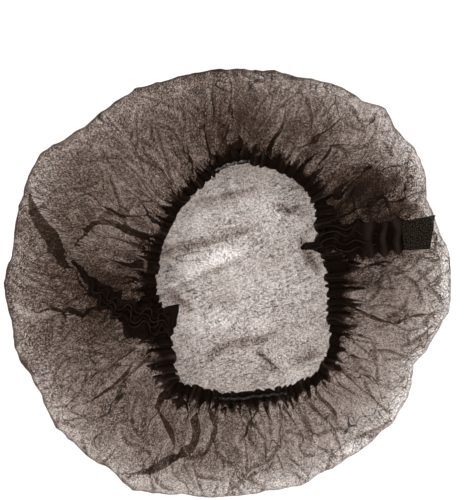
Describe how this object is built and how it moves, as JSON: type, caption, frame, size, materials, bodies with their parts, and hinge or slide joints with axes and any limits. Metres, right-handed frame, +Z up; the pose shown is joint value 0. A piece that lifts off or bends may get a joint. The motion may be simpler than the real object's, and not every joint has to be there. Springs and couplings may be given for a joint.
{
  "type": "bouffant cap",
  "caption": "Soft see-through cloth hair cap lying open on its crown, with an elastic gathered mouth facing up and pleated, heat-sealed ends.",
  "frame": {"origin": "on the surface the cap lies on, under the middle of its bounding box", "axes": "+Z up out of the mouth, +X towards the sealed end that lies on the skirt, +Y towards the picture's upper edge"},
  "size_m": [0.3322, 0.3214, 0.0582],
  "materials": {
    "non_woven": "thin see-through web of matt dark fibres",
    "gathered_cloth": "the same cloth in many layers, matt and nearly black",
    "elastic_yarn": "fine ribbed grey elastic with a soft sheen",
    "sealed_cloth": "heat-sealed, smooth and dark with fine embossed specks"
  },
  "bodies": {
    "root": {"crown": "non_woven", "skirt": "non_woven", "hem_upper": "gathered_cloth", "hem_lower": "gathered_cloth", "elastic_upper": "elastic_yarn", "elastic_lower": "elastic_yarn", "pleats_right": "gathered_cloth", "pleats_left": "gathered_cloth", "weld_right": "sealed_cloth", "weld_left": "sealed_cloth"}
  },
  "joints": []
}
